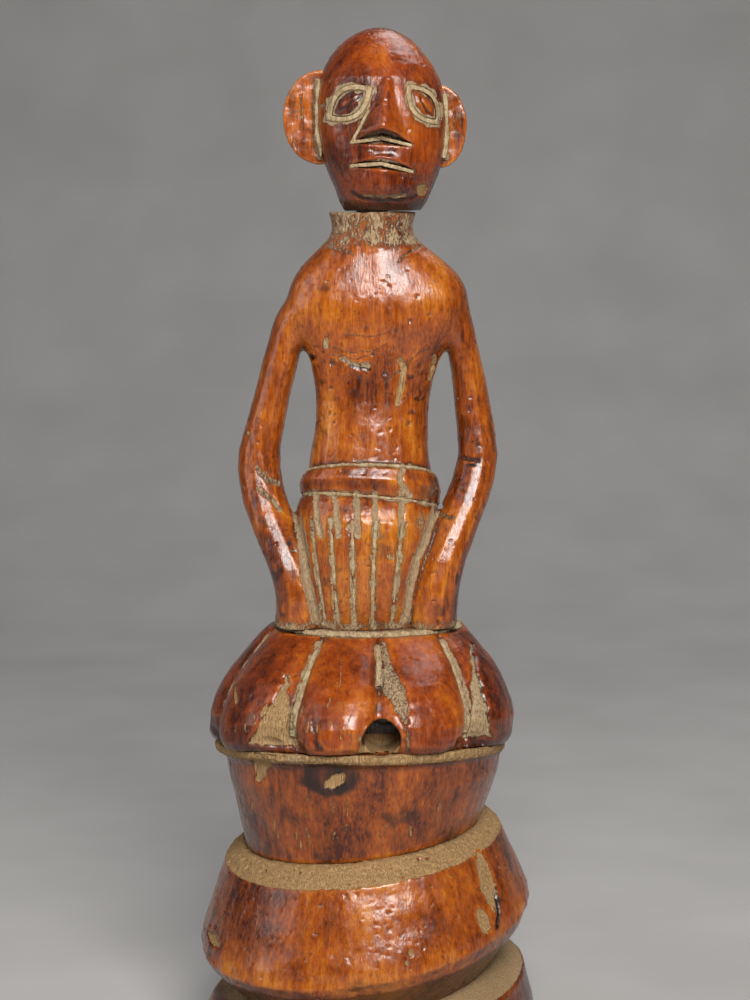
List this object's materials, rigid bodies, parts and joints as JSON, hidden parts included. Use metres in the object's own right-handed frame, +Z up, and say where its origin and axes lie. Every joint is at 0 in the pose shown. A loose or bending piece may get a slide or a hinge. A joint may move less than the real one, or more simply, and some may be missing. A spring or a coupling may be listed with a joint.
{
  "type": "fertility doll",
  "caption": "Carved wooden fertility doll with a turning, lift-off head and pale clay in its carved lines, seated on a lobed seat over a stepped, flaring base.",
  "frame": {"origin": "centre of the foot's underside, on the floor", "axes": "+Z up through the head; the doll faces -Y; +X to the doll's own left"},
  "size_m": [0.086, 0.086, 0.256],
  "materials": {
    "wood": "polished, oiled, with a warm red-brown patina",
    "dark_wood": "polished, dark red-brown",
    "dowel_wood": "plain, unpolished",
    "clay": "matte, chalky"
  },
  "bodies": {
    "body": {"foot": "dark_wood", "ring": "wood", "bowl": "wood", "seat": "wood", "torso": "wood", "spindle": "dowel_wood", "waistband_clay": "clay", "skirt_clay": "clay", "hip_clay": "clay", "seat_clay": "clay"},
    "dowel": {"neck_dowel": "dowel_wood"},
    "head": {"head": "wood", "ear_right": "wood", "ear_left": "wood", "eye_clay_right": "clay", "eye_clay_left": "clay", "nose_clay": "clay", "mouth_clay": "clay", "ear_seam_clay": "clay"}
  },
  "joints": [
    {"name": "head_lift", "type": "slide", "parent": "body", "child": "dowel", "axis": [0, 0, 1], "range_m": [0, 0.02]},
    {"name": "head_turn", "type": "hinge", "parent": "dowel", "child": "head", "pos_m": [0.0011, 0.0005, 0.2118], "axis": [0, 0, 1], "continuous": true}
  ]
}
